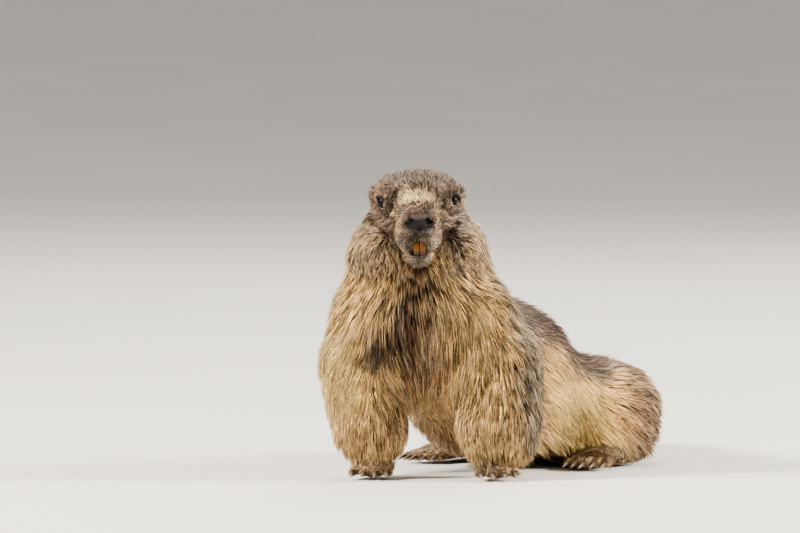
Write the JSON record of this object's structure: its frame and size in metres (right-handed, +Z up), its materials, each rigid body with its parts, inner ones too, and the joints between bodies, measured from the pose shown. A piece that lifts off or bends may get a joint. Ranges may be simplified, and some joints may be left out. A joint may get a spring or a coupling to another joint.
{
  "type": "alpine marmot",
  "caption": "Life-size alpine marmot facing forward, chest raised on its forelegs and hindquarters laid on the floor, with a long coarse coat, small ears and orange incisors.",
  "frame": {"origin": "centre of the bounding box on the floor under the marmot", "axes": "+Z up, the face looks along -Y, +X is the marmot's left; the trunk runs back along +Y and out to +X"},
  "size_m": [0.3052, 0.5226, 0.2743],
  "materials": {
    "body_fur": "long brown and golden ticked fur in locks",
    "chest_fur": "long golden-tan fur in locks",
    "ear_fur": "short tan fur",
    "eye": "glossy near-black eye",
    "foot_fur": "short tan fur with dark claws",
    "head_fur": "short ticked grey-brown fur",
    "incisor": "satin orange enamel",
    "jaw_fur": "short greyish fur",
    "muzzle_fur": "short pale fur",
    "nose": "damp black pad",
    "tail_fur": "long dark brown fur in locks"
  },
  "bodies": {
    "root": {"chest": "chest_fur", "ear_left": "ear_fur", "ear_right": "ear_fur", "eye_left": "eye", "eye_right": "eye", "foreleg_left": "chest_fur", "foreleg_right": "chest_fur", "forepaw_left": "foot_fur", "forepaw_right": "foot_fur", "head": "head_fur", "hind_foot_left": "foot_fur", "hind_foot_right": "foot_fur", "incisor_left": "incisor", "incisor_right": "incisor", "jaw": "jaw_fur", "muzzle": "muzzle_fur", "neck": "chest_fur", "nose": "nose", "rump": "body_fur", "tail": "tail_fur", "thigh_left": "body_fur", "thigh_right": "body_fur", "trunk": "body_fur"}
  },
  "joints": []
}
